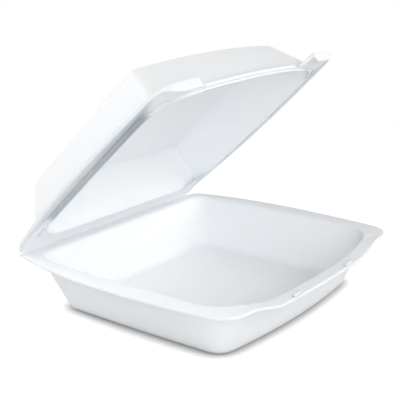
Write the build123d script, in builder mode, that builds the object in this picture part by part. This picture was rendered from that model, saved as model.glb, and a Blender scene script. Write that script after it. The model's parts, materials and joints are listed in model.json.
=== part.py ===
# Foam clamshell container: a tray and a domed lid moulded as one foam piece
# Millimetres; X runs along the hinge, the mouth opens towards -Y, Z is up,
# and the origin is the centre of the underside of the tray
import math
import os

from build123d import *

os.makedirs("parts", exist_ok=True)

# Foam sheet
wall = 2.45
floor_thickness = 2.4
tray_rim_thickness = 2.4
lid_rim_thickness = 2.8
edge_chamfer = 0.7

# Outline of the tray underside: edges are wide arcs, corners are round
tray_half_width = 86.2
tray_side_sweep = 2000.0
tray_back_y = 70.4
tray_back_sweep = 4500.0
tray_front_y = -76.5
tray_front_sweep = 550.0
tray_back_radius = 15.0
tray_front_radius = 13.0

# Tray walls lean out to the rim; the draft is the lean per unit of height
tray_rim_top = 40.6
tray_draft_share = 0.39
foot_round = 5.0
floor_fillet = 6.5
mouth_round = 1.0

# Flange of the rims, outside the tray wall at rim level
flange_side = 14.0
flange_back = 11.8
flange_front = 6.5
rim_side_sweep = 697.0
rim_side_y = 5.0
rim_front_sweep = 1040.0
rim_back_radius = 8.0
rim_front_radius = 18.0

# Dropped stretch of the tray rim at the front, with two locking nubs
drop_half_width = 57.0
drop_slope = 5.0
drop_depth = 6.4
drop_round = 3.0
nub_x = 36.0
nub_length = 9.0
nub_width = 2.6
nub_height = 1.5
nub_set_back = 0.9
nub_chamfer = 0.6

# Hinge line: both rims dip to a moulded bead along the back edge
hinge_dip = 2.2
hinge_dip_length = 9.0
hinge_bead_radius = 0.9
hinge_gap = 0.35
lid_strip_tip = 1.3
lid_open_deg = 43.5
lid_flat_deg = 180.0

# Dome of the lid above its rim
rim_gap = 0.4
dome_height = 34.9
dome_draft_share = 0.47
crown_round = 2.6
ceiling_fillet = 4.5

# Ridge that locates the lid in the tray mouth, and channel under the lid rim
ridge_depth = 1.7
ridge_thickness = 1.5
ridge_gap = 0.4
channel_depth = 1.2
channel_outer_land = 2.6
channel_inner_land = 1.4
channel_back_inset = 9.0

# Corner skirts, apron and bead along the front of the lid
skirt_gap = 0.5
skirt_thickness = 2.2
skirt_depth = 4.6
skirt_notch = 5.0
skirt_slope = 16.0
skirt_end_inset = 10.0
skirt_bend = 2.0
skirt_round = 0.8
apron_gap = 1.5
apron_depth = 5.5
bead_inset = 0.5
bead_drop = 1.6
bead_height = 2.4
bead_reach = 3.0
bead_round = 1.1

# Line across the walls that parts the front features from the rest
front_line_inset = 25.0

# Sums used more than once
tray_draft_deg = math.degrees(math.atan(tray_draft_share))
dome_draft_deg = math.degrees(math.atan(dome_draft_share))
mouth_grow = tray_draft_share * tray_rim_top
mouth_half_width = tray_half_width + mouth_grow
mouth_back_y = tray_back_y + mouth_grow
mouth_front_y = tray_front_y - mouth_grow
rim_half_width = mouth_half_width + flange_side
rim_front_y = mouth_front_y - flange_front
hinge_y = mouth_back_y + flange_back
hinge_z = tray_rim_top - hinge_dip
hinge_half_width = rim_half_width - (hinge_y - rim_side_y) ** 2 / (2 * rim_side_sweep)
hinge_half_length = hinge_half_width - rim_back_radius - wall
dip_start_y = hinge_y - hinge_dip_length
tray_rim_bottom = tray_rim_top - tray_rim_thickness
lid_rim_bottom = tray_rim_top + rim_gap
lid_rim_top = lid_rim_bottom + lid_rim_thickness
crown_z = lid_rim_bottom + dome_height
drop_top = tray_rim_top - drop_depth
drop_bottom = tray_rim_bottom - drop_depth
drop_half_width_top = drop_half_width + drop_slope
dome_grow = tray_draft_share * (lid_rim_bottom - ridge_depth) - ridge_gap - ridge_thickness
skirt_reach = skirt_gap + skirt_thickness
skirt_bottom = lid_rim_bottom - skirt_depth
skirt_half_inner = drop_half_width_top + skirt_notch
skirt_end_x = rim_half_width - skirt_end_inset
skirt_full_x = skirt_end_x - skirt_slope
apron_half_width = drop_half_width - apron_gap
apron_bottom = lid_rim_bottom - apron_depth
bead_bottom = lid_rim_bottom - bead_drop
front_line_y = mouth_front_y + front_line_inset
far = 4 * rim_half_width


def tray_rim_top_at(x):
    """Height of the top of the tray rim along its front"""
    share = (abs(x) - drop_half_width) / drop_slope
    return drop_top + drop_depth * min(1, max(0, share))


def back_band(start_y):
    """Cuts the current sketch off behind a line"""
    with Locations((0, start_y)):
        Rectangle(2 * far, far, align=(Align.CENTER, Align.MIN), mode=Mode.SUBTRACT)


def three_arcs(half_width, side_y, side_sweep, front_y, front_sweep):
    """Face between two bowed sides and a bowed front, in the current sketch"""
    with Locations(Location((half_width - side_sweep, side_y), 180)):
        Circle(side_sweep)
    with Locations((side_sweep - half_width, side_y)):
        Circle(side_sweep, mode=Mode.INTERSECT)
    with Locations((0, front_y + front_sweep)):
        Circle(front_sweep, mode=Mode.INTERSECT)


def round_corners(back_radius, front_radius):
    """Rounds the back and the front corners of the current sketch"""
    fillet(vertices().group_by(Axis.Y)[-1], radius=back_radius)
    fillet(vertices().group_by(Axis.Y)[0], radius=front_radius)


def wall_face(grow):
    """Outline of the tray underside moved out by the growth: every wall of tray and lid follows it"""
    three_arcs(
        tray_half_width + grow,
        0,
        tray_side_sweep + grow,
        tray_front_y - grow,
        tray_front_sweep + grow,
    )
    with Locations((0, tray_back_y - tray_back_sweep)):
        Circle(tray_back_sweep + grow, mode=Mode.INTERSECT)
    round_corners(tray_back_radius + grow, tray_front_radius + grow)


def rim_face(inset=0.0, reach=0.0):
    """Outline shared by the two rims, moved in by the inset, its front moved out by the reach"""
    three_arcs(
        rim_half_width - inset,
        rim_side_y,
        rim_side_sweep - inset,
        rim_front_y + inset - reach,
        rim_front_sweep - inset + reach,
    )
    back_band(hinge_y - inset)
    round_corners(rim_back_radius - inset, rim_front_radius - inset)


def lean_walls(plane, draft_deg):
    """Leans the upright walls of the current part about the plane that keeps their outline"""
    upright = faces().filter_by(Plane.XY, reverse=True)
    draft(upright, neutral_plane=plane, angle=-draft_deg)


def front_band(half_width, mode):
    """Strip across the front of the current sketch, to keep or to cut"""
    with Locations((0, front_line_y)):
        Rectangle(2 * half_width, far, align=(Align.CENTER, Align.MAX), mode=mode)


def rim_outer_edges(solid):
    """Upper and lower edges of a rim sheet along its outside, short of the hinge"""
    return [
        e
        for e in solid.edges()
        if (abs(e.center().X) > mouth_half_width or e.center().Y < mouth_front_y)
        and abs((e @ 1 - e @ 0).Z) < e.length - edge_chamfer
        and e.center().Y < hinge_y - edge_chamfer
    ]


# Hollow of the tray, with a soft fillet where the walls meet the floor
with BuildPart() as tray_hollow:
    with BuildSketch(Plane.XY.offset(floor_thickness)):
        wall_face(tray_draft_share * floor_thickness - wall)
    extrude(amount=tray_rim_top + wall - floor_thickness)
    lean_walls(Plane.XY.offset(floor_thickness), tray_draft_deg)
    fillet(faces().sort_by(Axis.Z)[0].edges(), radius=floor_fillet)

# Rim sheet of the tray: its front drops between the two corner flats
with BuildPart() as tray_rim:
    with BuildSketch(Plane.XZ.offset(-front_line_y)):
        with BuildLine():
            Polyline(
                (-far, tray_rim_bottom),
                (-drop_half_width_top - tray_rim_thickness, tray_rim_bottom),
                (-drop_half_width - tray_rim_thickness, drop_bottom),
                (drop_half_width + tray_rim_thickness, drop_bottom),
                (drop_half_width_top + tray_rim_thickness, tray_rim_bottom),
                (far, tray_rim_bottom),
                (far, tray_rim_top),
                (drop_half_width_top, tray_rim_top),
                (drop_half_width, drop_top),
                (-drop_half_width, drop_top),
                (-drop_half_width_top, tray_rim_top),
                (-far, tray_rim_top),
                close=True,
            )
        make_face()
        fillet([v for v in vertices() if abs(v.X) < far / 2], radius=drop_round)
    extrude(amount=far)
    with BuildSketch(Plane.XY.offset(drop_bottom - wall)):
        rim_face()
    extrude(amount=tray_rim_top - drop_bottom + 2 * wall, mode=Mode.INTERSECT)
    with BuildSketch(Plane.XY.offset(tray_rim_bottom)):
        rim_face()
        front_band(far, Mode.SUBTRACT)
    extrude(amount=tray_rim_thickness)
    chamfer(rim_outer_edges(tray_rim), length=edge_chamfer)
    add(tray_hollow.part, mode=Mode.SUBTRACT)

# Air over the dropped stretch, cut out of the wall
with BuildPart() as drop_air:
    with BuildSketch(Plane.XZ.offset(-front_line_y)):
        with BuildLine():
            Polyline(
                (-drop_half_width, drop_top),
                (drop_half_width, drop_top),
                (drop_half_width_top, tray_rim_top),
                (far, tray_rim_top),
                (far, tray_rim_top + wall),
                (-far, tray_rim_top + wall),
                (-far, tray_rim_top),
                (-drop_half_width_top, tray_rim_top),
                close=True,
            )
        make_face()
        fillet([v for v in vertices() if abs(v.X) < far / 2], radius=drop_round)
    extrude(amount=far)

# Two nubs on the dropped stretch, which hold the front of the lid down
with BuildPart() as nubs:
    nub_y = rim_front_y + nub_x**2 / (2 * rim_front_sweep) + nub_set_back + nub_width / 2
    with BuildSketch(Plane.XY.offset(drop_top - nub_chamfer)):
        with Locations((-nub_x, nub_y), (nub_x, nub_y)):
            Rectangle(nub_length, nub_width)
        chamfer(vertices(), length=nub_chamfer)
    extrude(amount=nub_height + nub_chamfer)
    chamfer(faces().group_by(Axis.Z)[-1].edges(), length=nub_chamfer)

# Tray: drafted bowl, rim sheet, hollow, dip towards the hinge, hinge bead and nubs
with BuildPart() as base_tray:
    with BuildSketch():
        wall_face(0)
    extrude(amount=tray_rim_top)
    lean_walls(Plane.XY, tray_draft_deg)
    fillet(faces().sort_by(Axis.Z)[0].edges(), radius=foot_round)
    add(tray_hollow.part, mode=Mode.SUBTRACT)
    add(tray_rim.part)
    add(drop_air.part, mode=Mode.SUBTRACT)
    with BuildSketch(Plane.YZ.offset(-far)):
        with BuildLine():
            Polyline(
                (dip_start_y, tray_rim_top),
                (hinge_y, hinge_z),
                (hinge_y + wall, hinge_z),
                (hinge_y + wall, tray_rim_top + wall),
                (dip_start_y, tray_rim_top + wall),
                close=True,
            )
        make_face()
    extrude(amount=2 * far, mode=Mode.SUBTRACT)
    with BuildSketch(Plane.YZ.offset(-hinge_half_length)):
        with BuildLine():
            Polyline(
                (dip_start_y, tray_rim_bottom),
                (hinge_y, hinge_z - hinge_bead_radius),
                (hinge_y, hinge_z),
                (dip_start_y, tray_rim_bottom + edge_chamfer),
                close=True,
            )
        make_face()
        with Locations((hinge_y, hinge_z)):
            Circle(hinge_bead_radius)
    extrude(amount=2 * hinge_half_length)
    mouth_edges = [
        e
        for e in edges()
        if abs(e.center().Z - tray_rim_top_at(e.center().X)) < wall / 4
        and abs(e.center().X) < mouth_half_width
        and mouth_front_y + wall / 2 < e.center().Y < mouth_back_y
    ]
    fillet(mouth_edges, radius=mouth_round)
    add(nubs.part)

# Air inside the lid, open at the rim, with a fillet under the crown
with BuildPart() as dome_hollow:
    with BuildSketch(Plane.XY.offset(lid_rim_bottom)):
        wall_face(dome_grow - wall)
    extrude(amount=dome_height - wall)
    lean_walls(Plane.XY.offset(lid_rim_bottom), -dome_draft_deg)
    fillet(faces().sort_by(Axis.Z)[-1].edges(), radius=ceiling_fillet)

# Inside outline of the dome at its rim
with BuildSketch() as dome_inside:
    wall_face(dome_grow - wall)

# Inner edge of the channel under the lid rim
with BuildSketch() as channel_inside:
    wall_face(dome_grow + channel_inner_land)

# Strip of the lid rim that slopes down to the hinge, clear of the bead
with BuildPart() as lid_strip:
    with BuildSketch(Plane.YZ.offset(-far)):
        with BuildLine():
            Polyline(
                (dip_start_y, lid_rim_bottom),
                (hinge_y, hinge_z + rim_gap),
                (hinge_y + wall, hinge_z + rim_gap),
                (hinge_y + wall, hinge_z + rim_gap + lid_strip_tip),
                (hinge_y, hinge_z + rim_gap + lid_strip_tip),
                (dip_start_y, lid_rim_top),
                close=True,
            )
        make_face()
        with Locations((hinge_y, hinge_z)):
            Circle(hinge_bead_radius + hinge_gap, mode=Mode.SUBTRACT)
    extrude(amount=2 * far)
    with BuildSketch(Plane.XY.offset(hinge_z)):
        rim_face()
    extrude(amount=lid_rim_top, mode=Mode.INTERSECT)

# Rim of the lid: its front corners hang down as skirts outside the tray rim
with BuildPart() as lid_rim:
    with BuildSketch(Plane.XZ.offset(-front_line_y)):
        with BuildLine():
            Polyline(
                (-far, lid_rim_bottom),
                (-skirt_end_x, lid_rim_bottom),
                (-skirt_full_x, skirt_bottom),
                (skirt_full_x, skirt_bottom),
                (skirt_end_x, lid_rim_bottom),
                (far, lid_rim_bottom),
                (far, lid_rim_top),
                (-far, lid_rim_top),
                close=True,
            )
        make_face()
        fillet([v for v in vertices() if abs(v.X) < far / 2], radius=skirt_bend)
    extrude(amount=far)
    with BuildSketch(Plane.XY.offset(skirt_bottom - wall)):
        rim_face(0, skirt_reach)
    extrude(amount=lid_rim_top - skirt_bottom + 2 * wall, mode=Mode.INTERSECT)
    with BuildSketch(Plane.XY.offset(lid_rim_bottom)):
        rim_face(0, skirt_reach)
        front_band(far, Mode.SUBTRACT)
    extrude(amount=lid_rim_thickness)
    chamfer(rim_outer_edges(lid_rim), length=edge_chamfer)
    with BuildSketch(Plane.XY.offset(skirt_bottom - wall)):
        rim_face(0, skirt_gap)
    extrude(amount=skirt_depth + wall, mode=Mode.SUBTRACT)
    with BuildSketch(Plane.XY.offset(skirt_bottom - wall)):
        front_band(skirt_half_inner, Mode.ADD)
        with Locations((0, dip_start_y)):
            Rectangle(2 * far, far, align=(Align.CENTER, Align.MIN))
    extrude(amount=lid_rim_top - skirt_bottom + 2 * wall, mode=Mode.SUBTRACT)

# Bead across the front of the dome, which snaps under the hand
with BuildPart() as bead:
    with BuildSketch(Plane.XY.offset(bead_bottom)):
        wall_face(dome_grow + bead_reach)
        front_band(apron_half_width - bead_inset, Mode.INTERSECT)
        add(dome_inside.sketch, mode=Mode.SUBTRACT)
    extrude(amount=bead_height)
    fillet(faces().sort_by(Axis.Y)[0].edges(), radius=bead_round)

# Apron that hangs under the bead, inside the dropped stretch of the tray rim
with BuildPart() as apron:
    with BuildSketch(Plane.XY.offset(apron_bottom)):
        wall_face(dome_grow)
        front_band(apron_half_width, Mode.INTERSECT)
        add(dome_inside.sketch, mode=Mode.SUBTRACT)
    extrude(amount=apron_depth)
    fillet(faces().sort_by(Axis.Z)[0].edges().sort_by(Axis.Y)[0], radius=skirt_round)

# Lid, drawn shut over the tray
with BuildPart() as lid:
    with BuildSketch(Plane.XY.offset(lid_rim_bottom)):
        wall_face(dome_grow)
    extrude(amount=dome_height)
    lean_walls(Plane.XY.offset(lid_rim_bottom), -dome_draft_deg)
    fillet(faces().sort_by(Axis.Z)[-1].edges(), radius=crown_round)
    add([lid_rim.part, lid_strip.part])
    add(dome_hollow.part, mode=Mode.SUBTRACT)
    with BuildSketch(Plane.XY.offset(lid_rim_bottom - ridge_depth)):
        wall_face(dome_grow - wall + ridge_thickness)
        add(dome_inside.sketch, mode=Mode.SUBTRACT)
    extrude(amount=ridge_depth)
    add([bead.part, apron.part])
    with BuildSketch(Plane.XY.offset(lid_rim_bottom)):
        rim_face(channel_outer_land)
        front_band(far, Mode.SUBTRACT)
        back_band(mouth_back_y - channel_back_inset)
        add(channel_inside.sketch, mode=Mode.SUBTRACT)
    extrude(amount=channel_depth, mode=Mode.SUBTRACT)

# The lid turns about the hinge bead, and stands open as it is left on a table
hinge_line = Axis((0, hinge_y, hinge_z), (-1, 0, 0))
RevoluteJoint("hinge", to_part=base_tray.part, axis=hinge_line, angular_range=(0, lid_flat_deg))
RigidJoint("hinge", to_part=lid.part, joint_location=hinge_line.location)
base_tray.part.joints["hinge"].connect_to(lid.part.joints["hinge"], angle=lid_open_deg)

base_tray.part.label = "base_tray"
export_step(base_tray.part, "parts/base_tray.step")
lid.part.label = "lid"
export_step(lid.part, "parts/lid.step")
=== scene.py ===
"""Foam clamshell container: the tray, the lid, the crease between them, and a plain studio."""

import json
import math

import bmesh
import bpy
from mathutils import Matrix, Vector


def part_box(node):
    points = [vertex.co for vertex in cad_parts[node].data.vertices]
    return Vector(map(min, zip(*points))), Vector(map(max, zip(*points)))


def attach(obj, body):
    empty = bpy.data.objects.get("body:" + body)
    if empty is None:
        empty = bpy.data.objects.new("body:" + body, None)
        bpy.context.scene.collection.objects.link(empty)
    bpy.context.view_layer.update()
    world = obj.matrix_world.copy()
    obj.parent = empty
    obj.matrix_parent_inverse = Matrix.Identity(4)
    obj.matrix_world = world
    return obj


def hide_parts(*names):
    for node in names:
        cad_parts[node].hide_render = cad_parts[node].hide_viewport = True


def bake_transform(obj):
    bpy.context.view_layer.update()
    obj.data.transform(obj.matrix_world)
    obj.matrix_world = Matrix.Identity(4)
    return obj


bl_info = {
    "name": "Foam Clamshell Container",
    "version": (1, 0, 0),
    "blender": (4, 5, 0),
    "location": "View3D > Sidebar > Container",
    "description": "Builds a hinged foam takeaway container around its packed frame",
    "category": "Add Mesh",
}

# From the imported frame: the boxes, the hinge, and how far the lid stands open at rest
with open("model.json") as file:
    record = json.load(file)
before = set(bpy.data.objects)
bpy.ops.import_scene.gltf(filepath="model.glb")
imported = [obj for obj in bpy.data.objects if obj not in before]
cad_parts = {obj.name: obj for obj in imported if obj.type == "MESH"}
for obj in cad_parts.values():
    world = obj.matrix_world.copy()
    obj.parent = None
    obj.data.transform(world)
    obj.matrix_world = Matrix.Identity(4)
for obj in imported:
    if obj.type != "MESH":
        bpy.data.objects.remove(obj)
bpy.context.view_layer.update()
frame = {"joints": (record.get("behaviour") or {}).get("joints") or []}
TRAY_LOW, TRAY_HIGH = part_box("base_tray")
TRAY_TOP = TRAY_HIGH.z
HINGE_JOINT = frame["joints"][0]
HINGE = Vector(HINGE_JOINT["pos_m"])
LID_OPEN = math.radians(-HINGE_JOINT["range_deg"][0])


class TraySizes(bpy.types.PropertyGroup):
    """Sizes of the tray that a maker would change"""

    wall: bpy.props.FloatProperty(
        name="Wall",
        description="Thickness of the foam across a wall",
        default=0.00245,
        unit="LENGTH",
    )
    floor: bpy.props.FloatProperty(
        name="Floor",
        description="Thickness of the floor",
        default=0.0024,
        unit="LENGTH",
    )
    rim: bpy.props.FloatProperty(
        name="Rim",
        description="Thickness of the rim of the tray",
        default=0.0024,
        unit="LENGTH",
    )
    draft: bpy.props.FloatProperty(
        name="Draft",
        description="Lean of the walls per unit of height",
        default=0.39,
    )
    floor_round: bpy.props.FloatProperty(
        name="Floor Round",
        description="Radius where walls meet the floor inside",
        default=0.0065,
        unit="LENGTH",
    )
    foot_round: bpy.props.FloatProperty(
        name="Foot Round",
        description="Radius where walls meet the underside",
        default=0.005,
        unit="LENGTH",
    )
    mouth_round: bpy.props.FloatProperty(
        name="Mouth Round",
        description="Radius of the inner edge of the rim",
        default=0.0035,
        unit="LENGTH",
    )
    foot_corner: bpy.props.FloatProperty(
        name="Foot Corner",
        description="Radius of the back corners at the foot",
        default=0.011,
        unit="LENGTH",
    )
    mouth_corner: bpy.props.FloatProperty(
        name="Mouth Corner",
        description="Radius of the back corners at the mouth",
        default=0.015,
        unit="LENGTH",
    )
    edge_round: bpy.props.FloatProperty(
        name="Edge Round",
        description="Radius of the cut edge of the rim",
        default=0.0007,
        unit="LENGTH",
    )
    drop_depth: bpy.props.FloatProperty(
        name="Drop",
        description="How far the front of the rim drops",
        default=0.0064,
        unit="LENGTH",
    )
    drop_half: bpy.props.FloatProperty(
        name="Drop Half Width",
        description="Half the level length of the drop",
        default=0.057,
        unit="LENGTH",
    )
    drop_slope: bpy.props.FloatProperty(
        name="Drop Slope",
        description="Length over which the rim drops",
        default=0.027,
        unit="LENGTH",
    )


class LidSizes(bpy.types.PropertyGroup):
    """Sizes of the lid that a maker would change"""

    wall: bpy.props.FloatProperty(
        name="Wall",
        description="Thickness of the foam across a wall",
        default=0.00245,
        unit="LENGTH",
    )
    rim: bpy.props.FloatProperty(
        name="Rim",
        description="Thickness of the rim of the lid",
        default=0.0028,
        unit="LENGTH",
    )
    gap: bpy.props.FloatProperty(
        name="Rim Gap",
        description="Gap between the rims with the lid shut",
        default=0.0004,
        unit="LENGTH",
    )
    height: bpy.props.FloatProperty(
        name="Dome Height",
        description="Height of the dome over the underside of its rim",
        default=0.0349,
        unit="LENGTH",
    )
    draft: bpy.props.FloatProperty(
        name="Draft",
        description="Lean of the dome walls per unit of height",
        default=0.47,
    )
    foot_corner: bpy.props.FloatProperty(
        name="Foot Corner",
        description="Radius of the dome's corners at the rim",
        default=0.0085,
        unit="LENGTH",
    )
    crown_corner: bpy.props.FloatProperty(
        name="Crown Corner",
        description="Radius of the dome's corners at the crown",
        default=0.0044,
        unit="LENGTH",
    )
    crown_round: bpy.props.FloatProperty(
        name="Crown Round",
        description="Radius of the edge of the crown",
        default=0.0022,
        unit="LENGTH",
    )
    ceiling_round: bpy.props.FloatProperty(
        name="Ceiling Round",
        description="Radius inside the crown",
        default=0.0027,
        unit="LENGTH",
    )
    skirt_depth: bpy.props.FloatProperty(
        name="Skirt Depth",
        description="How far the front corners hang down",
        default=0.0046,
        unit="LENGTH",
    )
    apron_depth: bpy.props.FloatProperty(
        name="Apron Depth",
        description="How far the front apron hangs down",
        default=0.0017,
        unit="LENGTH",
    )
    bead_reach: bpy.props.FloatProperty(
        name="Bead Reach",
        description="How far the front bead stands out",
        default=0.0021,
        unit="LENGTH",
    )


class FoamFinish(bpy.types.PropertyGroup):
    """Colour and surface of the foam, and the painted shade in its folds and in the channel of the
    lid's rim
    """

    colour: bpy.props.FloatVectorProperty(
        name="Colour",
        description="Colour of the foam",
        default=(0.93, 0.953, 0.975),
        subtype="COLOR",
    )
    shade: bpy.props.FloatVectorProperty(
        name="Cell Colour",
        description="Colour between the foam beads",
        default=(0.905, 0.93, 0.957),
        subtype="COLOR",
    )
    # Painted shade in folds, creases and hollows: its darkest colour, and how far from the fold it
    # reaches
    fold_shade_colour: bpy.props.FloatVectorProperty(
        name="Fold Colour",
        description="Colour deep in a fold",
        default=(0.74, 0.77, 0.8),
        subtype="COLOR",
    )
    fold_shade_reach: bpy.props.FloatProperty(
        name="Fold Reach",
        description="How far a fold darkens the foam",
        default=0.006,
        unit="LENGTH",
    )
    # Painted shade: the dark colour put on the channel under the lid's rim and under its bead,
    # where shade falls
    channel_shade_colour: bpy.props.FloatVectorProperty(
        name="Pressed Colour",
        description="Colour of the foam pressed in the channel",
        default=(0.42, 0.45, 0.48),
        subtype="COLOR",
    )
    bead: bpy.props.FloatProperty(
        name="Bead",
        description="Size of a foam bead",
        default=0.0016,
        unit="LENGTH",
    )
    roughness: bpy.props.FloatProperty(
        name="Roughness",
        description="Roughness of the skin",
        default=0.5,
        subtype="FACTOR",
    )


class StageSizes(bpy.types.PropertyGroup):
    """Camera, floor and light of the studio"""

    aim: bpy.props.FloatVectorProperty(
        name="Aim",
        description="Point at the centre of the picture",
        default=(-0.0139, 0.0, 0.07727),
        subtype="XYZ",
    )
    azimuth: bpy.props.FloatProperty(
        name="Azimuth",
        description="Camera angle round the container",
        default=math.radians(-53.44),
        unit="ROTATION",
    )
    elevation: bpy.props.FloatProperty(
        name="Elevation",
        description="Camera angle over the floor",
        default=math.radians(16.32),
        unit="ROTATION",
    )
    distance: bpy.props.FloatProperty(
        name="Distance",
        description="From camera to aim",
        default=0.65528,
        unit="LENGTH",
    )
    lens: bpy.props.FloatProperty(
        name="Lens",
        description="Focal length in millimetres",
        default=81.28,
    )
    floor_colour: bpy.props.FloatVectorProperty(
        name="Floor Colour",
        description="Colour that the floor throws back",
        default=(0.75, 0.75, 0.75),
        subtype="COLOR",
    )
    floor_lift: bpy.props.FloatProperty(
        name="Floor Lift",
        description="Brightness added to the floor in the picture",
        default=0.29,
    )
    contact_reach: bpy.props.FloatProperty(
        name="Contact Reach",
        description="Width of the shadow where foam meets floor",
        default=0.01,
        unit="LENGTH",
    )
    world_strength: bpy.props.FloatProperty(
        name="Fill",
        description="Strength of the even light all round",
        default=0.17,
    )


# Outlines seen from above are wide arcs joined by round corners, named by the sizes of the arcs.
# A side has one arc for its front half and one for its hinge half, which meet at side_y.
WALL_OUTLINE = {
    "half_width": 0.0862,
    "side_y": 0.0,
    "side_sweep": 2.0,
    "hinge_sweep": 2.0,
    "front_y": -0.0765,
    "front_sweep": 0.55,
    "back_y": 0.0704,
    "back_sweep": 4.5,
    "front_radius": 0.013,
    "back_radius": 0.015,
}
RIM_OUTLINE = {
    "half_width": TRAY_HIGH.x,
    "side_y": 0.005,
    "side_sweep": 0.697,
    "hinge_sweep": 0.309,
    "front_y": TRAY_LOW.y,
    "front_sweep": 1.04,
    "back_y": HINGE.y,
    "back_sweep": 60.0,
    "front_radius": 0.018,
    "back_radius": 0.008,
}
SKIRT_REACH = 0.0027
LID_OUTLINE = dict(
    RIM_OUTLINE,
    front_y=RIM_OUTLINE["front_y"] - SKIRT_REACH,
    front_sweep=RIM_OUTLINE["front_sweep"] + SKIRT_REACH,
)

# Columns of the half outline, from the front centre round the right side to the back centre.
# Those of the front keep their place along x, whatever the outline, up to the last station.
FRONT_STATION_X = 0.072
FRONT_STEPS = 48
FRONT_END_STEPS = 3
CORNER_STEPS = 18
SIDE_STEPS = 16
BACK_STEPS = 20

# Shares of the way for the rings that lie in a flat face, on a wall, and above and below a rim
FLAT_SHARES = (0.06, 0.25, 0.45, 0.65, 0.82)
WALL_SHARES = (0.2, 0.4, 0.6, 0.8)
RIM_SHARES = (0.3, 0.65)
UNDER_RIM_SHARES = (0.35, 0.7)

# Widest bevel, of which each rounded loop has its own share as its weight
BEVEL_WIDTH = 0.006
BEVEL_SEGMENTS = 5
WELD_DISTANCE = 0.000002

# Name of the value on each point that says how much painted shade darkens the foam there, in the
# channel of the lid's rim and under its bead
SHADE_ATTRIBUTE = "painted_shade"

# Degrees by which the wall turns at the edges of the tray, and at those of the dome
TURN_TRAY_DEG = 68.7
TURN_DOME_DEG = 64.8

# Both rims slope down to the crease over their last stretch
HINGE_DIP_LENGTH = 0.009
HINGE_DIP_Y = HINGE.y - HINGE_DIP_LENGTH
CREASE_RADIUS = 0.0009
CREASE_HALF_LENGTH = 0.1
CREASE_SEGMENTS = 16

# Locking nubs on the dropped front of the tray's rim
NUB_X = 0.036
NUB_SIZE = Vector((0.009, 0.0026, 0.003))
NUB_SET_BACK = 0.0022
NUB_ROUND = 0.0006
NUB_SEGMENTS = 3

# Ridge round the inside of the lid's rim, which drops into the mouth of the tray
RIDGE_DEPTH = 0.0017
RIDGE_GAP = 0.0004
RIDGE_THICKNESS = 0.0015
RIDGE_ROUND = 0.0005

# Shallow channel in the underside of the lid's rim, along its sides
CHANNEL_DEPTH = 0.0018
CHANNEL_OUTER_LAND = 0.0018
CHANNEL_INNER_LAND = 0.0006
CHANNEL_FRONT_Y = -0.09
CHANNEL_BACK_Y = 0.094
CHANNEL_FRONT_RAMP = 0.006
CHANNEL_BACK_RAMP = 0.004

# Locking front of the lid: a bead with its apron in the middle, a notch and a corner skirt
APRON_HALF = 0.0555
NOTCH_HALF = 0.07
NOTCH_FILLET = 0.0006
BEAD_DROP = 0.0004
BEAD_HEIGHT = 0.0022
BEAD_FLARE = 0.0036
BEAD_ROUND = 0.0009
SKIRT_START_X = 0.0712
SKIRT_FULL_X = 0.09
SKIRT_END_X = 0.106
LID_TIP = 0.0013

# Loops of the lid's rim, from the ridge out and up to its top edge. Each has its share of the
# bead's height for the columns on the bead, its rounding there and on the rim, and its share of the
# painted shade
BEAD_SHARES = (0.0, 0.44, 0.47, 0.5, 0.53, 0.56, 1.0)
BEAD_ROUNDS = (BEAD_ROUND, 0.0, 0.0, 0.0, 0.0, 0.0, BEAD_ROUND)
RIM_ROUNDS = (0.0, 0.0004, 0.0, 0.0004, 0.0006, 0.0007, 0.0008)
RIM_SHADE_SHARES = (1.0, 1.0, 0.6, 0.3, 0.0, 0.0, 0.0)
RIM_FILLET = 0.0012
# Painted shade in the channel: its share at the hinge, the stretch over which it fades out at the
# back, and its share on the apron under the bead
SHADE_AT_HINGE = 0.7
SHADE_BACK_RAMP = 0.012
SHADE_UNDER_BEAD = 0.35

# Finish of the foam: its gloss, how light scatters in it, how its beads show, and the samples for
# the painted shade in its folds
FOAM_GLOSS = 0.35
SCATTER_SHARE = 0.6
SCATTER_REACH = 0.003
SCATTER_OF_COLOURS = (0.9, 0.95, 1.0)
BEAD_SOFTNESS = 0.6
BEAD_STRENGTH = 0.6
CLOUD_SCALE = 60.0
CLOUD_DETAIL = 3.0
TONE_START = 0.35
TONE_END = 1.0
FOLD_SHADE_SAMPLES = 8
BUMP_STRENGTH = 0.12
BUMP_HEIGHT = 0.0002

# Floor, and its contact shadow: darkest where little of the sky is open, and gone where most is
FLOOR_SIZE = 1.2
FLOOR_ROUGHNESS = 0.9
CONTACT_SAMPLES = 16
CONTACT_LITTLE = 0.3
CONTACT_MOST = 0.95
CONTACT_DARKEST = 0.45
WHITE = (1, 1, 1, 1)
BLACK = (0, 0, 0, 1)

# Soft lamps: azimuth and elevation in degrees, and power in watts
LAMPS = {
    "Left": (-90.0, 35.0, 2.9),
    "Camera_Side": (-50.0, 15.0, 7.0),
    "Front": (0.0, 20.0, 2.4),
    "Front_High": (5.0, 42.0, 4.9),
    "Right": (60.0, 25.0, 8.6),
    "Behind": (-160.0, 30.0, 11.8),
}
LAMP_SIZE = 1.0
LAMP_DISTANCE = 1.4
SENSOR_WIDTH = 36


def held(value):
    """Value held between nought and one"""
    return min(1.0, max(0.0, value))


def smooth_step(value):
    """Share that eases in and out from nought to one"""
    share = held(value)
    return share * share * (3 - 2 * share)


def corner_centre(first, first_radius, second, second_radius):
    """Meeting point of two circles, on the right"""
    apart = second - first
    length = apart.length
    along = (length**2 + first_radius**2 - second_radius**2) / (2 * length)
    height = math.sqrt(first_radius**2 - along**2)
    foot = first + apart * (along / length)
    side = Vector((-apart.y, apart.x)) * (height / length)
    return max((foot + side, foot - side), key=lambda point: point.x)


def arc_points(centre, radius, start, stop, steps):
    """Points round an arc, without its first"""
    turn = (stop - start) / steps
    angles = [start + turn * (step + 1) for step in range(steps)]
    return [(centre.x + radius * math.cos(a), centre.y + radius * math.sin(a)) for a in angles]


def angle_from(centre, point):
    """Angle at which a point lies from a centre"""
    return math.atan2(point.y - centre.y, point.x - centre.x)


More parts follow.
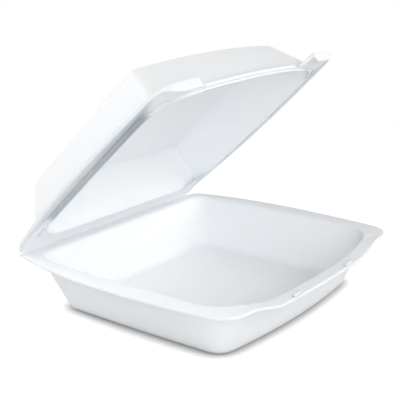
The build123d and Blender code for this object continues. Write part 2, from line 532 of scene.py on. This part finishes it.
def half_outline(shape, grow=0.0):
    """Right half of an outline moved out by the growth, from the front centre to the back centre"""
    front_round, back_round = shape["front_radius"], shape["back_radius"]
    side_sweep, hinge_sweep = shape["side_sweep"], shape["hinge_sweep"]
    front_sweep, back_sweep = shape["front_sweep"], shape["back_sweep"]
    side = Vector((shape["half_width"] - side_sweep, shape["side_y"]))
    hinge_side = Vector((shape["half_width"] - hinge_sweep, shape["side_y"]))
    front = Vector((0, shape["front_y"] + front_sweep))
    back = Vector((0, shape["back_y"] - back_sweep))
    front_corner = corner_centre(side, side_sweep - front_round, front, front_sweep - front_round)
    back_corner = corner_centre(hinge_side, hinge_sweep - back_round, back, back_sweep - back_round)
    front_radius = front_sweep + grow
    points = []
    for step in range(FRONT_STEPS + 1):
        x = FRONT_STATION_X * step / FRONT_STEPS
        points.append((x, front.y - math.sqrt(front_radius**2 - x**2)))
    last = angle_from(front, Vector(points[-1]))
    touch = angle_from(front, front_corner)
    points += arc_points(front, front_radius, last, touch, FRONT_END_STEPS)
    side_start = angle_from(side, front_corner)
    side_stop = angle_from(hinge_side, back_corner)
    points += arc_points(front_corner, front_round + grow, touch, side_start, CORNER_STEPS)
    points += arc_points(side, side_sweep + grow, side_start, 0.0, SIDE_STEPS)
    points += arc_points(hinge_side, hinge_sweep + grow, 0.0, side_stop, SIDE_STEPS)
    back_touch = angle_from(back, back_corner)
    points += arc_points(back_corner, back_round + grow, side_stop, back_touch, CORNER_STEPS)
    points += arc_points(back, back_sweep + grow, back_touch, math.pi / 2, BACK_STEPS)
    return points


def round_outline(shape, grow, front, back):
    """Half outline moved out by the growth, with corners of these radii"""
    return half_outline(dict(shape, front_radius=front - grow, back_radius=back - grow), grow)


def level(outline, height):
    """Half ring at one height"""
    return [Vector((x, y, height)) for x, y in outline]


def at_heights(outline, heights):
    """Half ring with a height for each column"""
    return [Vector((x, y, height)) for (x, y), height in zip(outline, heights)]


def between(first, second, share):
    """Half ring a share of the way from one half ring to another"""
    return [a.lerp(b, share) for a, b in zip(first, second)]


def flat_rings(edge):
    """Half rings that fill a flat face out from its middle, short of its edge"""
    middle = Vector((0, (edge[0].y + edge[-1].y) / 2, edge[0].z))
    return [[middle.lerp(point, share) for point in edge] for share in FLAT_SHARES]


def corner_setback(radius, turn_deg):
    """Distance from a corner to where its rounding starts"""
    return radius * math.tan(math.radians(turn_deg) / 2)


def rim_dip(height, y, end_height):
    """Height of a rim face that slopes down to the hinge over its last stretch"""
    return height + (end_height - height) * held((y - HINGE_DIP_Y) / HINGE_DIP_LENGTH)


def across_rim(first, second, share, height, end_height):
    """Half ring across the rim, flat until the stretch that slopes down to the hinge"""
    ring = between(first, second, share)
    for point in ring:
        if point.y > HINGE_DIP_Y:
            point.z = rim_dip(height, point.y, end_height)
        elif point.y > 0:
            point.z = height
    return ring


def full_ring(half):
    """Closed ring from its right half"""
    return half + [Vector((-p.x, p.y, p.z)) for p in reversed(half[1:-1])]


def both_sides(values):
    """Values of a closed ring from those of its right half"""
    return values + values[-2:0:-1]


def even(value, half):
    """The same value on every column of a half ring"""
    return [value] * len(half)


def ring_shell(rings):
    """Closed shell through half rings, each with its columns' bevel widths and perhaps their shares
    of painted shade
    """
    bm = bmesh.new()
    column = bm.verts.layers.int.new("column")
    weight = bm.edges.layers.float.new("bevel_weight_edge")
    painted_shade = bm.verts.layers.float.new(SHADE_ATTRIBUTE)
    count = len(full_ring(rings[0][0]))
    circle = bmesh.ops.create_circle(bm, cap_ends=False, segments=count, radius=1)
    verts = circle["verts"]
    for index, vert in enumerate(verts):
        vert[column] = index
    edges = list(bm.edges)
    bmesh.ops.contextual_create(bm, geom=edges)
    for number, (half, widths, *shade_share) in enumerate(rings):
        if number:
            geom = bmesh.ops.extrude_edge_only(bm, edges=edges)["geom"]
            verts = [g for g in geom if isinstance(g, bmesh.types.BMVert)]
            fresh = set(verts)
            edges = [g for g in geom if isinstance(g, bmesh.types.BMEdge) and set(g.verts) <= fresh]
        ring = full_ring(half)
        around = both_sides(widths)
        shade_shares = both_sides(shade_share[0] if shade_share else even(0.0, half))
        for vert in verts:
            vert.co = ring[vert[column]]
            vert[painted_shade] = shade_shares[vert[column]]
        for edge in edges:
            edge[weight] = min(around[vert[column]] for vert in edge.verts) / BEVEL_WIDTH
    bmesh.ops.contextual_create(bm, geom=edges)
    bmesh.ops.recalc_face_normals(bm, faces=bm.faces)
    return bm


def finish_piece(bm, name, material):
    """Object at the origin with smooth faces, rounded along its weighted loops"""
    for face in bm.faces:
        face.smooth = True
    mesh = bpy.data.meshes.new(name)
    bm.to_mesh(mesh)
    bm.free()
    mesh.materials.append(material)
    piece = bpy.data.objects.new(name, mesh)
    bpy.context.scene.collection.objects.link(piece)
    bevel = piece.modifiers.new("Edges", "BEVEL")
    bevel.limit_method = "WEIGHT"
    bevel.width = BEVEL_WIDTH
    bevel.segments = BEVEL_SEGMENTS
    bevel.use_clamp_overlap = False
    bevel.loop_slide = False
    weld = piece.modifiers.new("Joined", "WELD")
    weld.merge_threshold = WELD_DISTANCE
    weighted = piece.modifiers.new("Flat Faces", "WEIGHTED_NORMAL")
    weighted.mode = "FACE_AREA"
    return piece


def set_inputs(node, values):
    """Fixed values on a node's own sockets"""
    for socket, value in values.items():
        node.inputs[socket].default_value = value


def colour_mix(nodes):
    """Node that mixes colour B over colour A by its factor"""
    mix = nodes.new("ShaderNodeMix")
    mix.data_type = "RGBA"
    return mix


def product(nodes):
    """Node that multiplies its two values"""
    times = nodes.new("ShaderNodeMath")
    times.operation = "MULTIPLY"
    return times


def bead_pattern(nodes, links, finish):
    """Fused beads of the foam, and their colour with a faint cloud over it"""
    place = nodes.new("ShaderNodeTexCoord")
    beads = nodes.new("ShaderNodeTexVoronoi")
    beads.feature = "SMOOTH_F1"
    set_inputs(beads, {"Scale": 1 / finish.bead, "Smoothness": BEAD_SOFTNESS})
    links.new(place.outputs["Object"], beads.inputs["Vector"])
    cloud = nodes.new("ShaderNodeTexNoise")
    set_inputs(cloud, {"Scale": CLOUD_SCALE, "Detail": CLOUD_DETAIL})
    links.new(place.outputs["Object"], cloud.inputs["Vector"])
    tone = nodes.new("ShaderNodeMath")
    tone.operation = "MULTIPLY_ADD"
    tone.inputs[1].default_value = BEAD_STRENGTH
    links.new(beads.outputs["Distance"], tone.inputs[0])
    links.new(cloud.outputs["Fac"], tone.inputs[2])
    ramp = nodes.new("ShaderNodeValToRGB")
    start, end = ramp.color_ramp.elements
    start.position, start.color = TONE_START, (*finish.colour, 1)
    end.position, end.color = TONE_END, (*finish.shade, 1)
    links.new(tone.outputs["Value"], ramp.inputs["Fac"])
    return beads, ramp


def foam_material(finish):
    """Matt off-white foam with a faint pattern of fused beads, with painted shade in its folds and
    hollows, in the channel of the lid's rim and under its bead
    """
    name = "Moulded_Foam"
    if name in bpy.data.materials:
        return bpy.data.materials[name]
    material = bpy.data.materials.new(name)
    material.use_nodes = True
    nodes, links = material.node_tree.nodes, material.node_tree.links
    shader = nodes["Principled BSDF"]
    set_inputs(
        shader,
        {
            "Roughness": finish.roughness,
            "Specular IOR Level": FOAM_GLOSS,
            "Subsurface Weight": SCATTER_SHARE,
            "Subsurface Radius": SCATTER_OF_COLOURS,
            "Subsurface Scale": SCATTER_REACH,
        },
    )
    beads, bead_colour = bead_pattern(nodes, links, finish)
    # Painted shade: the foam darkens towards the fold colour where nearby surfaces close it in
    fold_shade = nodes.new("ShaderNodeAmbientOcclusion")
    fold_shade.only_local = True
    fold_shade.samples = FOLD_SHADE_SAMPLES
    set_inputs(fold_shade, {"Distance": finish.fold_shade_reach})
    fold_shaded = colour_mix(nodes)
    fold_shaded.inputs["A"].default_value = (*finish.fold_shade_colour, 1)
    links.new(fold_shade.outputs["AO"], fold_shaded.inputs["Factor"])
    links.new(bead_colour.outputs["Color"], fold_shaded.inputs["B"])
    # Painted shade: the foam darkens towards the channel shade colour by each point's share, in the
    # channel of the lid's rim and under its bead
    painted_shade = nodes.new("ShaderNodeAttribute")
    painted_shade.attribute_name = SHADE_ATTRIBUTE
    channel_shaded = colour_mix(nodes)
    channel_shaded.inputs["B"].default_value = (*finish.channel_shade_colour, 1)
    links.new(painted_shade.outputs["Fac"], channel_shaded.inputs["Factor"])
    links.new(fold_shaded.outputs["Result"], channel_shaded.inputs["A"])
    links.new(channel_shaded.outputs["Result"], shader.inputs["Base Color"])
    bump = nodes.new("ShaderNodeBump")
    set_inputs(bump, {"Strength": BUMP_STRENGTH, "Distance": BUMP_HEIGHT})
    links.new(beads.outputs["Distance"], bump.inputs["Height"])
    links.new(bump.outputs["Normal"], shader.inputs["Normal"])
    return material


def tray_drop(sizes, x, y):
    """How far the rim of the tray has dropped at a column"""
    if y > 0:
        return 0.0
    return sizes.drop_depth * (1 - held((abs(x) - sizes.drop_half) / sizes.drop_slope))


def dropped(sizes, line, height):
    """Height of each column of a line on the tray's rim, after its drop at the front"""
    return [height - tray_drop(sizes, x, y) for x, y in line]


def tray_wall_line(sizes, height, offset):
    """Half outline of the leaning wall, its back corners opening out towards the mouth"""
    grow = sizes.draft * height + offset
    opening = (sizes.mouth_corner - sizes.foot_corner) * height / TRAY_TOP
    front = WALL_OUTLINE["front_radius"] + grow
    return round_outline(WALL_OUTLINE, grow, front, sizes.foot_corner + opening + offset)


def tray_wall_ring(sizes, heights, offset):
    """Half ring on the leaning wall, each column at its own height"""
    lines = {height: tray_wall_line(sizes, height, offset) for height in set(heights)}
    return [Vector((*lines[height][i], height)) for i, height in enumerate(heights)]


def tray_rings(sizes):
    """Half rings of the tray, from its floor's middle over the rim to its underside's middle"""
    rim_line = half_outline(RIM_OUTLINE)
    plain, edge = even(0.0, rim_line), even(sizes.edge_round, rim_line)
    low, low_end = TRAY_TOP - sizes.rim, HINGE.z - CREASE_RADIUS
    mouth_line = tray_wall_line(sizes, TRAY_TOP, -sizes.wall)
    under_line = tray_wall_line(sizes, low, 0.0)

    def rim_edge(height, end_height):
        """Half ring on the cut edge of the rim, dropped at the front and sloped to the hinge"""
        dips = [rim_dip(height, y, end_height) for x, y in rim_line]
        return at_heights(rim_line, map(min, dropped(sizes, rim_line, height), dips))

    def rounded(ring, radius):
        """Half ring with a rounding of this radius where the wall turns"""
        return ring, even(corner_setback(radius, TURN_TRAY_DEG), rim_line)

    inside_floor = tray_wall_ring(sizes, even(sizes.floor, rim_line), -sizes.wall)
    mouth = tray_wall_ring(sizes, dropped(sizes, mouth_line, TRAY_TOP), -sizes.wall)
    rim_top = rim_edge(TRAY_TOP, HINGE.z)
    rim_low = rim_edge(low, low_end)
    under_rim = tray_wall_ring(sizes, dropped(sizes, under_line, low), 0.0)
    foot = tray_wall_ring(sizes, even(0.0, rim_line), 0.0)
    rings = [(ring, plain) for ring in flat_rings(inside_floor)]
    rings.append(rounded(inside_floor, sizes.floor_round))
    rings += [(between(inside_floor, mouth, share), plain) for share in WALL_SHARES]
    rings.append(rounded(mouth, sizes.mouth_round))
    for share in RIM_SHARES:
        rings.append((across_rim(mouth, rim_top, share, TRAY_TOP, HINGE.z), plain))
    rings += [(rim_top, edge), (rim_low, edge)]
    for share in UNDER_RIM_SHARES:
        rings.append((across_rim(rim_low, under_rim, share, low, low_end), plain))
    rings.append((under_rim, edge))
    rings += [(between(under_rim, foot, share), plain) for share in WALL_SHARES]
    rings.append(rounded(foot, sizes.foot_round))
    rings += [(ring, plain) for ring in reversed(flat_rings(foot))]
    return rings


def add_nub(bm, x, drop_depth):
    """Small locking nub on the dropped front of the rim"""
    front = RIM_OUTLINE["front_y"] + NUB_X**2 / (2 * RIM_OUTLINE["front_sweep"])
    centre = Vector((x, front + NUB_SET_BACK, TRAY_TOP - drop_depth))
    made = bmesh.ops.create_cube(bm, size=1)["verts"]
    bmesh.ops.scale(bm, vec=NUB_SIZE, verts=made)
    bmesh.ops.translate(bm, vec=centre, verts=made)
    edges = {edge for vert in made for edge in vert.link_edges}
    bmesh.ops.bevel(
        bm,
        geom=list(edges),
        offset=NUB_ROUND,
        offset_type="OFFSET",
        affect="EDGES",
        segments=NUB_SEGMENTS,
        profile=0.5,
        material=-1,
    )


class CONTAINER_OT_add_tray(bpy.types.Operator):
    """Tray with leaning walls, a flat rim that drops at the front, and two nubs"""

    bl_idname = "container.add_tray"
    bl_label = "Add Tray"

    def execute(self, context):
        sizes = context.scene.tray_sizes
        bm = ring_shell(tray_rings(sizes))
        for x in (-NUB_X, NUB_X):
            add_nub(bm, x, sizes.drop_depth)
        tray = finish_piece(bm, "Tray", foam_material(context.scene.foam_finish))
        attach(tray, "base")
        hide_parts("base_tray")
        return {"FINISHED"}


class LidForm:
    """Heights and outlines of the shut lid that its rings share"""

    def __init__(self, sizes, tray):
        self.sizes = sizes
        self.low = TRAY_TOP + sizes.gap
        self.top = self.low + sizes.rim
        self.crown = self.low + sizes.height
        self.foot_grow = tray.draft * (self.low - RIDGE_DEPTH) - RIDGE_GAP - RIDGE_THICKNESS
        self.bead_low = self.low - BEAD_DROP
        self.bead_top = self.bead_low + BEAD_HEIGHT
        self.rim_line = half_outline(LID_OUTLINE)
        self.inner_line = half_outline(LID_OUTLINE, -CHANNEL_OUTER_LAND)
        self.front = [y < 0 and x < NOTCH_HALF for x, y in self.rim_line]
        self.bead = [y < 0 and x < APRON_HALF for x, y in self.rim_line]

    def foot_line(self, offset=0.0):
        """Half outline at the foot of the dome, moved out by the offset"""
        return half_outline(WALL_OUTLINE, self.foot_grow + offset)

    def dome_ring(self, height, offset=0.0):
        """Half ring on the leaning dome wall, with its corners tighter towards the crown"""
        sizes = self.sizes
        share = (height - self.low) / sizes.height
        tighter = (sizes.crown_corner - sizes.foot_corner) * share
        radius = sizes.foot_corner + tighter + offset
        grow = self.foot_grow - sizes.draft * (height - self.low) + offset
        return level(round_outline(WALL_OUTLINE, grow, radius, radius), height)

    def mixed(self, on_bead, on_notch, on_rim):
        """Half ring with each column from the bead, from the notch beside it, or from the rim"""
        return [
            on_bead[i] if self.bead[i] else on_notch[i] if self.front[i] else on_rim[i]
            for i in range(len(self.rim_line))
        ]

    def mixed_values(self, on_bead, on_notch, on_rim):
        """Values of the columns on the bead, on the notch and on the rim"""
        return self.mixed(*(even(value, self.rim_line) for value in (on_bead, on_notch, on_rim)))

    def skirt(self, x, y):
        """How far the skirt hangs down at a column"""
        if y > 0 or x < SKIRT_START_X:
            return 0.0
        share = (x - SKIRT_FULL_X) / (SKIRT_END_X - SKIRT_FULL_X)
        return self.sizes.skirt_depth * (1 - smooth_step(share))


def channel_depth(y):
    """How deep the channel is cut into the underside of the rim"""
    start = smooth_step((y - CHANNEL_FRONT_Y) / CHANNEL_FRONT_RAMP)
    return CHANNEL_DEPTH * start * smooth_step((CHANNEL_BACK_Y - y) / CHANNEL_BACK_RAMP)


def channel_shade(y):
    """Share of painted shade in the channel, less towards the hinge"""
    if y < 0:
        share = SHADE_AT_HINGE + (1 - SHADE_AT_HINGE) * -y / CHANNEL_BACK_Y
        return smooth_step((y - CHANNEL_FRONT_Y) / CHANNEL_FRONT_RAMP) * share
    return SHADE_AT_HINGE * smooth_step((CHANNEL_BACK_Y - y) / SHADE_BACK_RAMP)


def lid_rim_loops(lid):
    """Loops of the lid's rim, from the ridge over its underside to its top edge"""
    low, low_end = lid.low, HINGE.z + lid.sizes.gap
    land_line = lid.foot_line(CHANNEL_INNER_LAND)
    channel = [channel_depth(y) for x, y in lid.inner_line]
    skirts = [lid.skirt(x, y) for x, y in lid.rim_line]
    lows = [rim_dip(low, y, low_end) for x, y in lid.rim_line]
    inner_lows = [rim_dip(low, y, low_end) for x, y in lid.inner_line]
    tops = [rim_dip(lid.top, y, low_end + LID_TIP) for x, y in lid.rim_line]
    bends = []
    for (x_in, y_in), (x_out, y_out), depth in zip(land_line, lid.inner_line, channel):
        share = (HINGE_DIP_Y - y_in) / (y_out - y_in) if y_in < HINGE_DIP_Y < y_out else 0.5
        x, y = x_in + (x_out - x_in) * share, y_in + (y_out - y_in) * share
        bends.append(Vector((x, y, rim_dip(low, y, low_end) + depth)))
    return [
        level(land_line, low),
        at_heights(land_line, [low + depth for depth in channel]),
        bends,
        at_heights(lid.inner_line, [h + depth for h, depth in zip(inner_lows, channel)]),
        at_heights(lid.inner_line, [h - skirt for h, skirt in zip(inner_lows, skirts)]),
        at_heights(lid.rim_line, [h - skirt for h, skirt in zip(lows, skirts)]),
        at_heights(lid.rim_line, tops),
    ]


def lid_inside_rings(lid):
    """Half rings of the lid's inside, from the middle of its ceiling to the foot of its walls"""
    sizes = lid.sizes
    plain = even(0.0, lid.rim_line)
    ceiling = lid.dome_ring(lid.crown - sizes.wall, -sizes.wall)
    inner_foot = lid.dome_ring(lid.low, -sizes.wall)
    rings = [(ring, plain) for ring in flat_rings(ceiling)]
    rings.append((ceiling, even(corner_setback(sizes.ceiling_round, TURN_DOME_DEG), ceiling)))
    rings += [(between(ceiling, inner_foot, share), plain) for share in WALL_SHARES]
    rings.append((inner_foot, plain))
    return rings


def lid_rim_rings(lid):
    """Half rings of the ridge, the apron and bead, and the rim, up to its top edge"""
    sizes, low = lid.sizes, lid.low
    wall_line = lid.foot_line()
    ridge_line = lid.foot_line(RIDGE_THICKNESS - sizes.wall)
    bead_line = lid.foot_line(sizes.bead_reach)
    bottoms = lid.mixed_values(low - sizes.apron_depth, low - RIDGE_DEPTH, low - RIDGE_DEPTH)
    ridge_bottom, ridge_top = at_heights(ridge_line, bottoms), level(ridge_line, low)
    inner_bottom = at_heights(lid.foot_line(-sizes.wall), bottoms)
    outer_bottom = lid.mixed(at_heights(wall_line, bottoms), ridge_bottom, ridge_bottom)
    under = lid.mixed(level(wall_line, lid.bead_low), ridge_top, ridge_top)
    # Shares of painted shade along the channel
    channel_shade_shares = [channel_shade(y) for x, y in lid.inner_line]
    ridge_round = even(RIDGE_ROUND, lid.rim_line)
    rings = [
        (inner_bottom, ridge_round, lid.mixed_values(SHADE_UNDER_BEAD, 0.0, 0.0)),
        (outer_bottom, ridge_round, channel_shade_shares),
        (under, even(0.0, lid.rim_line), channel_shade_shares),
    ]
    loops = zip(lid_rim_loops(lid), BEAD_SHARES, BEAD_ROUNDS, RIM_ROUNDS, RIM_SHADE_SHARES)
    for on_rim, share, bead_round, rim_round, shade_share in loops:
        on_bead = level(bead_line, lid.bead_low + (lid.bead_top - lid.bead_low) * share)
        on_notch = lid.dome_ring(low + (lid.top - low) * share)
        widths = lid.mixed_values(bead_round, 0.0, rim_round)
        shade_shares = [shade_share * channel for channel in channel_shade_shares]
        rings.append((lid.mixed(on_bead, on_notch, on_rim), widths, shade_shares))
    return rings


def lid_outside_rings(lid, rim_edge):
    """Half rings over the rim's top and up the dome, to the middle of its crown"""
    plain = even(0.0, lid.rim_line)
    crown_edge = lid.dome_ring(lid.crown)
    on_bead = lid.dome_ring(lid.bead_top + BEAD_FLARE)
    on_notch = lid.dome_ring(lid.top + NOTCH_FILLET)
    dome_foot = lid.mixed(on_bead, on_notch, lid.dome_ring(lid.top))
    crown_setback = corner_setback(lid.sizes.crown_round, TURN_DOME_DEG)
    rings = [(between(rim_edge, dome_foot, share), plain) for share in RIM_SHARES]
    rings.append((dome_foot, lid.mixed_values(0.0, 0.0, RIM_FILLET)))
    rings += [(between(dome_foot, crown_edge, share), plain) for share in WALL_SHARES]
    rings.append((crown_edge, even(crown_setback, crown_edge)))
    rings += [(ring, plain) for ring in reversed(flat_rings(crown_edge))]
    return rings


def lid_rings(sizes, tray):
    """Half rings of the shut lid, from its ceiling's middle over the rim to its crown's middle"""
    lid = LidForm(sizes, tray)
    rings = lid_inside_rings(lid) + lid_rim_rings(lid)
    return rings + lid_outside_rings(lid, rings[-1][0])


class CONTAINER_OT_add_lid(bpy.types.Operator):
    """Domed lid with its rim, corner skirts, front bead and apron, turned open about the hinge"""

    bl_idname = "container.add_lid"
    bl_label = "Add Lid"

    def execute(self, context):
        scene = context.scene
        bm = ring_shell(lid_rings(scene.lid_sizes, scene.tray_sizes))
        open_turn = Matrix.Rotation(-LID_OPEN, 3, "X")
        bmesh.ops.rotate(bm, cent=HINGE, matrix=open_turn, verts=bm.verts)
        lid = finish_piece(bm, "Lid", foam_material(scene.foam_finish))
        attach(lid, "lid")
        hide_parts("lid")
        return {"FINISHED"}


class CONTAINER_OT_add_crease(bpy.types.Operator):
    """Thin moulded crease along the hinge line, which joins the two rims"""

    bl_idname = "container.add_crease"
    bl_label = "Add Crease"

    def execute(self, context):
        bm = bmesh.new()
        bmesh.ops.create_cone(
            bm,
            cap_ends=True,
            segments=CREASE_SEGMENTS,
            radius1=CREASE_RADIUS,
            radius2=CREASE_RADIUS,
            depth=2 * CREASE_HALF_LENGTH,
            matrix=Matrix.Translation(HINGE) @ Matrix.Rotation(math.pi / 2, 4, "Y"),
        )
        crease = finish_piece(bm, "Hinge_Crease", foam_material(context.scene.foam_finish))
        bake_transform(crease)
        return {"FINISHED"}


def floor_material(stage):
    """Pale floor that looks white where nothing shades it"""
    material = bpy.data.materials.new("Studio_Floor")
    material.use_nodes = True
    nodes, links = material.node_tree.nodes, material.node_tree.links
    shader = nodes["Principled BSDF"]
    set_inputs(
        shader,
        {"Roughness": FLOOR_ROUGHNESS, "Specular IOR Level": 0.0, "Emission Color": WHITE},
    )
    seen = nodes.new("ShaderNodeLightPath")
    tone = colour_mix(nodes)
    tone.inputs["A"].default_value = (*stage.floor_colour, 1)
    tone.inputs["B"].default_value = WHITE
    links.new(seen.outputs["Is Camera Ray"], tone.inputs["Factor"])
    near = nodes.new("ShaderNodeAmbientOcclusion")
    near.samples = CONTACT_SAMPLES
    set_inputs(near, {"Distance": stage.contact_reach})
    contact = nodes.new("ShaderNodeMapRange")
    set_inputs(
        contact,
        {"From Min": CONTACT_LITTLE, "From Max": CONTACT_MOST, "To Min": CONTACT_DARKEST},
    )
    links.new(near.outputs["AO"], contact.inputs["Value"])
    shaded = colour_mix(nodes)
    shaded.inputs["A"].default_value = BLACK
    links.new(contact.outputs["Result"], shaded.inputs["Factor"])
    links.new(tone.outputs["Result"], shaded.inputs["B"])
    links.new(shaded.outputs["Result"], shader.inputs["Base Color"])
    seen_contact = product(nodes)
    links.new(seen.outputs["Is Camera Ray"], seen_contact.inputs[0])
    links.new(contact.outputs["Result"], seen_contact.inputs[1])
    lift = product(nodes)
    lift.inputs[1].default_value = stage.floor_lift
    links.new(seen_contact.outputs["Value"], lift.inputs[0])
    links.new(lift.outputs["Value"], shader.inputs["Emission Strength"])
    return material


def add_floor(scene, stage):
    """Square of floor that isn't part of the container"""
    bm = bmesh.new()
    bmesh.ops.create_grid(bm, x_segments=1, y_segments=1, size=FLOOR_SIZE / 2)
    mesh = bpy.data.meshes.new("Floor")
    bm.to_mesh(mesh)
    bm.free()
    mesh.materials.append(floor_material(stage))
    floor = bpy.data.objects.new("Floor", mesh)
    scene.collection.objects.link(floor)


def light_world(scene, stage):
    """Even light all round, with a white backdrop"""
    world = bpy.data.worlds.new("Studio_World")
    scene.world = world
    world.use_nodes = True
    nodes, links = world.node_tree.nodes, world.node_tree.links
    background = nodes["Background"]
    set_inputs(background, {"Color": WHITE})
    seen = nodes.new("ShaderNodeLightPath")
    strength = nodes.new("ShaderNodeMapRange")
    set_inputs(strength, {"To Min": stage.world_strength, "To Max": 1.0})
    links.new(seen.outputs["Is Camera Ray"], strength.inputs["Value"])
    links.new(strength.outputs["Result"], background.inputs["Strength"])


def view_direction(azimuth, elevation):
    """Direction from the container to a place round it"""
    flat = math.cos(elevation)
    return Vector((math.sin(azimuth) * flat, -math.cos(azimuth) * flat, math.sin(elevation)))


def place_facing(scene, name, data, aim, direction, distance):
    """Lamp or camera at a distance from the point that it faces"""
    placed = bpy.data.objects.new(name, data)
    placed.location = aim + direction * distance
    placed.rotation_euler = (-direction).to_track_quat("-Z", "Y").to_euler()
    scene.collection.objects.link(placed)
    return placed


def add_lamps(scene):
    """Large soft lamps that face the container"""
    for name, (azimuth_deg, elevation_deg, power) in LAMPS.items():
        lamp = bpy.data.lights.new(name, "AREA")
        lamp.energy = power
        lamp.size = LAMP_SIZE
        direction = view_direction(math.radians(azimuth_deg), math.radians(elevation_deg))
        place_facing(scene, name, lamp, Vector((0, 0, TRAY_TOP)), direction, LAMP_DISTANCE)


def add_camera(scene, stage):
    """Camera on its aim, with no depth of field"""
    data = bpy.data.cameras.new("Camera")
    data.lens = stage.lens
    data.sensor_width = SENSOR_WIDTH
    direction = view_direction(stage.azimuth, stage.elevation)
    aim = Vector(stage.aim)
    scene.camera = place_facing(scene, "Camera", data, aim, direction, stage.distance)


class CONTAINER_OT_add_stage(bpy.types.Operator):
    """Pale floor, even light and the camera of the picture"""

    bl_idname = "container.add_stage"
    bl_label = "Add Stage"

    def execute(self, context):
        scene = context.scene
        stage = scene.stage_sizes
        add_floor(scene, stage)
        light_world(scene, stage)
        add_lamps(scene)
        add_camera(scene, stage)
        scene.view_settings.view_transform = "Standard"
        return {"FINISHED"}


class CONTAINER_PT_panel(bpy.types.Panel):
    """Buttons for the pieces of the container"""

    bl_label = "Foam Container"
    bl_idname = "CONTAINER_PT_panel"
    bl_space_type = "VIEW_3D"
    bl_region_type = "UI"
    bl_category = "Container"

    def draw(self, context):
        for operator in OPERATORS:
            self.layout.operator(operator.bl_idname)


OPERATORS = (
    CONTAINER_OT_add_tray,
    CONTAINER_OT_add_lid,
    CONTAINER_OT_add_crease,
    CONTAINER_OT_add_stage,
)
GROUPS = {
    "tray_sizes": TraySizes,
    "lid_sizes": LidSizes,
    "foam_finish": FoamFinish,
    "stage_sizes": StageSizes,
}


def register():
    """Add the classes, and the groups of sizes to the scene"""
    for group in GROUPS.values():
        bpy.utils.register_class(group)
    for operator in OPERATORS:
        bpy.utils.register_class(operator)
    bpy.utils.register_class(CONTAINER_PT_panel)
    for name, group in GROUPS.items():
        setattr(bpy.types.Scene, name, bpy.props.PointerProperty(type=group))


def unregister():
    """Take out what register adds, in the other order"""
    for name in GROUPS:
        delattr(bpy.types.Scene, name)
    bpy.utils.unregister_class(CONTAINER_PT_panel)
    for operator in reversed(OPERATORS):
        bpy.utils.unregister_class(operator)
    for group in reversed(list(GROUPS.values())):
        bpy.utils.unregister_class(group)


def main():
    """Build the container and its studio"""
    register()
    bpy.ops.container.add_tray()
    bpy.ops.container.add_lid()
    bpy.ops.container.add_crease()
    bpy.ops.container.add_stage()


if __name__ == "__main__":
    main()
